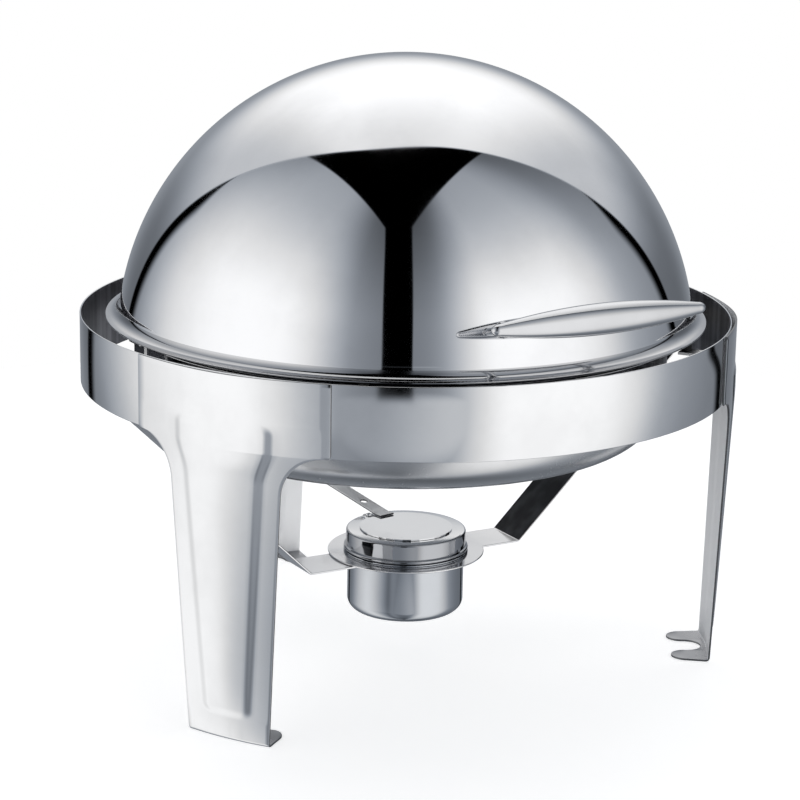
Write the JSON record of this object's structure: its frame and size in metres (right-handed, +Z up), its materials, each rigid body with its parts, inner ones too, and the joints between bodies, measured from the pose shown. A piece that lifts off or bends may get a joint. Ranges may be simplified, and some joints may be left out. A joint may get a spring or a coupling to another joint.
{
  "type": "roll top chafer",
  "caption": "Round stainless steel roll top chafer: mirror dome lid that rolls back inside a ring stand with embossed legs, water and food pans, and a fuel burner with snuffer",
  "frame": {"origin": "bottom centre of the bounding box, on the floor under the middle of the chafer from handle to rear leg", "axes": "+Z up, the lid's handle and the front face -Y, the rear leg is at +Y, the lid's hinge axis runs along X"},
  "size_m": [0.5, 0.5332, 0.4683],
  "materials": {
    "ring_band": "mirror polished stainless steel",
    "leg_left": "mirror polished stainless steel",
    "leg_right": "mirror polished stainless steel",
    "leg_rear": "mirror polished stainless steel",
    "hinge_bracket_left": "plain stainless steel sheet or bar",
    "hinge_bracket_right": "plain stainless steel sheet or bar",
    "hinge_pin_left": "plain stainless steel sheet or bar",
    "hinge_pin_right": "plain stainless steel sheet or bar",
    "hinge_bush_inner_left": "natural nylon",
    "hinge_bush_inner_right": "natural nylon",
    "hinge_bush_outer_left": "natural nylon",
    "hinge_bush_outer_right": "natural nylon",
    "pan_lug_left": "plain stainless steel sheet or bar",
    "pan_lug_right": "plain stainless steel sheet or bar",
    "lid_rest_left": "plain stainless steel sheet or bar",
    "lid_rest_right": "plain stainless steel sheet or bar",
    "lid_bumper_left": "matt black silicone rubber",
    "lid_bumper_right": "matt black silicone rubber",
    "burner_arm_left": "mirror polished stainless steel",
    "burner_arm_right": "mirror polished stainless steel",
    "burner_ring": "mirror polished stainless steel",
    "lid_dome": "mirror polished stainless steel",
    "lid_ear_left": "plain stainless steel sheet or bar",
    "lid_ear_right": "plain stainless steel sheet or bar",
    "handle_grip": "satin stainless steel",
    "handle_post_left": "satin stainless steel",
    "handle_post_right": "satin stainless steel",
    "handle_screw_left": "plain stainless steel sheet or bar",
    "handle_screw_right": "plain stainless steel sheet or bar",
    "handle_washer_left": "plain stainless steel sheet or bar",
    "handle_washer_right": "plain stainless steel sheet or bar",
    "water_pan": "satin stainless steel",
    "food_pan": "satin stainless steel",
    "burner_cup": "mirror polished stainless steel",
    "burner_collar": "mirror polished stainless steel",
    "snuffer_rivet": "plain stainless steel sheet or bar",
    "snuffer_disc": "mirror polished stainless steel",
    "snuffer_lever": "mirror polished stainless steel"
  },
  "bodies": {
    "stand": {"ring_band": "ring_band", "leg_left": "leg_left", "leg_right": "leg_right", "leg_rear": "leg_rear", "hinge_bracket_left": "hinge_bracket_left", "hinge_bracket_right": "hinge_bracket_right", "hinge_pin_left": "hinge_pin_left", "hinge_pin_right": "hinge_pin_right", "hinge_bush_inner_left": "hinge_bush_inner_left", "hinge_bush_inner_right": "hinge_bush_inner_right", "hinge_bush_outer_left": "hinge_bush_outer_left", "hinge_bush_outer_right": "hinge_bush_outer_right", "pan_lug_left": "pan_lug_left", "pan_lug_right": "pan_lug_right", "lid_rest_left": "lid_rest_left", "lid_rest_right": "lid_rest_right", "lid_bumper_left": "lid_bumper_left", "lid_bumper_right": "lid_bumper_right", "burner_arm_left": "burner_arm_left", "burner_arm_right": "burner_arm_right", "burner_ring": "burner_ring"},
    "lid": {"lid_dome": "lid_dome", "lid_ear_left": "lid_ear_left", "lid_ear_right": "lid_ear_right", "handle_grip": "handle_grip", "handle_post_left": "handle_post_left", "handle_post_right": "handle_post_right", "handle_screw_left": "handle_screw_left", "handle_screw_right": "handle_screw_right", "handle_washer_left": "handle_washer_left", "handle_washer_right": "handle_washer_right"},
    "water_pan_set": {"water_pan": "water_pan"},
    "food_pan_set": {"food_pan": "food_pan"},
    "burner": {"burner_cup": "burner_cup", "burner_collar": "burner_collar", "snuffer_rivet": "snuffer_rivet"},
    "snuffer": {"snuffer_disc": "snuffer_disc", "snuffer_lever": "snuffer_lever"}
  },
  "joints": [
    {"name": "lid_roll", "type": "hinge", "parent": "stand", "child": "lid", "pos_m": [0, 0.01035, 0.2462], "axis": [-1, 0, 0], "range_deg": [0, 90]},
    {"name": "water_pan_lift", "type": "slide", "parent": "stand", "child": "water_pan_set", "axis": [0, 0, 1], "range_m": [0, 0.012]},
    {"name": "food_pan_lift", "type": "slide", "parent": "water_pan_set", "child": "food_pan_set", "axis": [0, 0, 1], "range_m": [0, 0.015]},
    {"name": "burner_lift", "type": "slide", "parent": "stand", "child": "burner", "axis": [0, 0, 1], "range_m": [0, 0.01]},
    {"name": "snuffer_swing", "type": "hinge", "parent": "burner", "child": "snuffer", "pos_m": [-0.01236, 0.04239, 0.0978], "axis": [0, 0, 1], "range_deg": [0, 100]}
  ]
}
